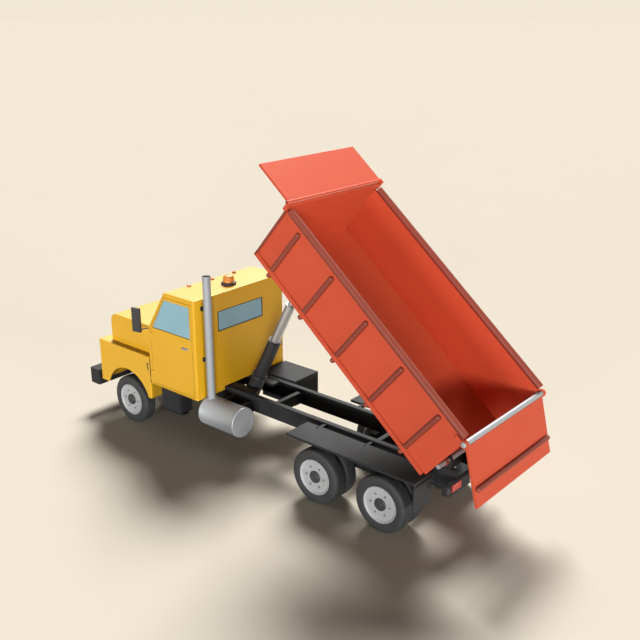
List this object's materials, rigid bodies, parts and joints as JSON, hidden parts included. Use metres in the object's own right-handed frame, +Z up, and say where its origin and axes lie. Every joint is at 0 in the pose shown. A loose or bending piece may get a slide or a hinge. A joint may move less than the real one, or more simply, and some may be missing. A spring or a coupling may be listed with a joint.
{
  "type": "three-axle dump truck",
  "caption": "Conventional-cab dump truck with three axles, a raised steel bed with a cab shield, an open tailgate, opening doors, a tilting hood and rolling wheels.",
  "frame": {"origin": "centre of the footprint's bounding box, on the ground under the tyres", "axes": "+X towards the front bumper, +Y to the truck's left, +Z up"},
  "size_m": [9.4907, 2.7544, 5.7943],
  "materials": {
    "cab_paint": "satin, faded yellow",
    "bed_paint": "satin, worn red",
    "chassis_black": "satin black, dusty",
    "tyre": "matt black",
    "rim_grey": "satin grey, dirty",
    "machinery": "rough cast",
    "tank_metal": "satin",
    "stack_metal": "polished, dull",
    "hoist_black": "satin black",
    "hoist_bright": "polished",
    "rod_metal": "worn bare",
    "glass": "clear, slightly blue",
    "seat_fabric": "woven, dark",
    "dash_plastic": "grained",
    "beacon_orange": "clear orange cap",
    "lamp_amber": "amber lens",
    "lamp_red": "red lens",
    "lamp_clear": "clear lens",
    "trim_black": "moulded",
    "flap_rubber": "matt sheet"
  },
  "bodies": {
    "chassis": {"frame_rails": "chassis_black", "frame_crossmembers": "chassis_black", "bed_pivot_shaft": "rod_metal", "front_bumper": "chassis_black", "rear_crossmember": "chassis_black", "tail_lamps": "lamp_red", "hoist_cradle": "chassis_black", "engine": "machinery", "driveline": "machinery", "rear_axles": "machinery", "front_axle": "machinery", "springs": "chassis_black", "air_tank": "tank_metal", "side_boxes": "chassis_black", "tank_saddles": "chassis_black", "exhaust_stack": "stack_metal", "stack_clamps": "chassis_black", "rear_fenders": "chassis_black", "mud_flaps": "flap_rubber", "cab_shell": "cab_paint", "cab_glass": "glass", "seats": "seat_fabric", "dashboard": "dash_plastic", "beacon_base": "trim_black", "beacon_lens": "beacon_orange", "roof_lamps": "lamp_amber", "mirrors": "trim_black"},
    "hood": {"hood_fenders": "cab_paint", "grille": "trim_black", "head_lamps": "lamp_clear"},
    "left_door": {"left_door": "cab_paint", "left_door_glass": "glass"},
    "right_door": {"right_door": "cab_paint", "right_door_glass": "glass"},
    "left_knuckle": {"left_knuckle": "machinery"},
    "right_knuckle": {"right_knuckle": "machinery"},
    "bed": {"bed_body": "bed_paint", "bed_ribs": "bed_paint", "bed_bearers": "bed_paint"},
    "cab_shield": {"cab_shield": "bed_paint"},
    "tailgate": {"tailgate": "bed_paint", "tailgate_rib": "bed_paint", "tailgate_rod": "rod_metal"},
    "hoist_barrel": {"hoist_barrel": "hoist_black"},
    "hoist_stage_a": {"hoist_stage_a": "hoist_black"},
    "hoist_stage_b": {"hoist_stage_b": "hoist_bright"},
    "hoist_rod": {"hoist_rod": "hoist_bright"},
    "front_left_wheel": {"front_left_tyre": "tyre", "front_left_rim": "rim_grey"},
    "front_right_wheel": {"front_right_tyre": "tyre", "front_right_rim": "rim_grey"},
    "middle_left_wheel": {"middle_left_tyre": "tyre", "middle_left_rim": "rim_grey"},
    "middle_right_wheel": {"middle_right_tyre": "tyre", "middle_right_rim": "rim_grey"},
    "rear_left_wheel": {"rear_left_tyre": "tyre", "rear_left_rim": "rim_grey"},
    "rear_right_wheel": {"rear_right_tyre": "tyre", "rear_right_rim": "rim_grey"}
  },
  "joints": [
    {"name": "left_door_hinge", "type": "hinge", "parent": "chassis", "child": "left_door", "pos_m": [2.61535, 1.2153, 1.7], "axis": [0, 0, -1], "range_deg": [0, 65]},
    {"name": "right_door_hinge", "type": "hinge", "parent": "chassis", "child": "right_door", "pos_m": [2.61535, -1.2153, 1.7], "axis": [0, 0, 1], "range_deg": [0, 65]},
    {"name": "hood_tilt", "type": "hinge", "parent": "chassis", "child": "hood", "pos_m": [4.40035, 0, 0.95], "axis": [0, 1, 0], "range_deg": [0, 60]},
    {"name": "left_steer", "type": "hinge", "parent": "chassis", "child": "left_knuckle", "pos_m": [3.42535, 0.83, 0.5], "axis": [0, 0, 1], "range_deg": [-35, 35]},
    {"name": "right_steer", "type": "hinge", "parent": "chassis", "child": "right_knuckle", "pos_m": [3.42535, -0.83, 0.5], "axis": [0, 0, 1], "range_deg": [-35, 35]},
    {"name": "front_left_spin", "type": "hinge", "parent": "left_knuckle", "child": "front_left_wheel", "pos_m": [3.42535, 1.05, 0.505], "axis": [0, 1, 0], "continuous": true},
    {"name": "front_right_spin", "type": "hinge", "parent": "right_knuckle", "child": "front_right_wheel", "pos_m": [3.42535, -1.05, 0.505], "axis": [0, 1, 0], "continuous": true},
    {"name": "middle_left_spin", "type": "hinge", "parent": "chassis", "child": "middle_left_wheel", "pos_m": [-1.55965, 1.05, 0.505], "axis": [0, 1, 0], "continuous": true},
    {"name": "middle_right_spin", "type": "hinge", "parent": "chassis", "child": "middle_right_wheel", "pos_m": [-1.55965, -1.05, 0.505], "axis": [0, 1, 0], "continuous": true},
    {"name": "rear_left_spin", "type": "hinge", "parent": "chassis", "child": "rear_left_wheel", "pos_m": [-2.95765, 1.05, 0.505], "axis": [0, 1, 0], "continuous": true},
    {"name": "rear_right_spin", "type": "hinge", "parent": "chassis", "child": "rear_right_wheel", "pos_m": [-2.95765, -1.05, 0.505], "axis": [0, 1, 0], "continuous": true},
    {"name": "bed_tip", "type": "hinge", "parent": "chassis", "child": "bed", "pos_m": [-3.76465, 0, 1.31], "axis": [0, -1, 0], "range_deg": [-40.1, 0]},
    {"name": "tailgate_swing", "type": "hinge", "parent": "bed", "child": "tailgate", "pos_m": [-4.48269, 0, 2.13165], "axis": [0, 1, 0], "range_deg": [-53.8, 30]},
    {"name": "shield_fold", "type": "hinge", "parent": "bed", "child": "cab_shield", "pos_m": [-1.05028, 0, 5.25601], "axis": [0, -1, 0], "range_deg": [0, 90.2]},
    {"name": "hoist_swing", "type": "hinge", "parent": "chassis", "child": "hoist_barrel", "pos_m": [1.27535, 0, 0.55], "axis": [0, 1, 0], "range_deg": [-28.9, 0]},
    {"name": "hoist_stage_a_slide", "type": "slide", "parent": "hoist_barrel", "child": "hoist_stage_a", "axis": [-0.4598, 0, 0.888], "range_m": [-0.9013, 0]},
    {"name": "hoist_stage_b_slide", "type": "slide", "parent": "hoist_stage_a", "child": "hoist_stage_b", "axis": [-0.4598, 0, 0.888], "range_m": [-0.9013, 0]},
    {"name": "hoist_rod_slide", "type": "slide", "parent": "hoist_stage_b", "child": "hoist_rod", "axis": [-0.4598, 0, 0.888], "range_m": [-0.9013, 0]}
  ],
  "couplings": [
    {"joint": "right_steer", "follows": "left_steer", "ratio": 1},
    {"joint": "shield_fold", "follows": "bed_tip", "ratio": -2.2444},
    {"joint": "hoist_swing", "follows": "bed_tip", "ratio": 0.72},
    {"joint": "hoist_stage_a_slide", "follows": "bed_tip", "m_per_rad": 1.2875},
    {"joint": "hoist_stage_b_slide", "follows": "bed_tip", "m_per_rad": 1.2875},
    {"joint": "hoist_rod_slide", "follows": "bed_tip", "m_per_rad": 1.2875}
  ]
}
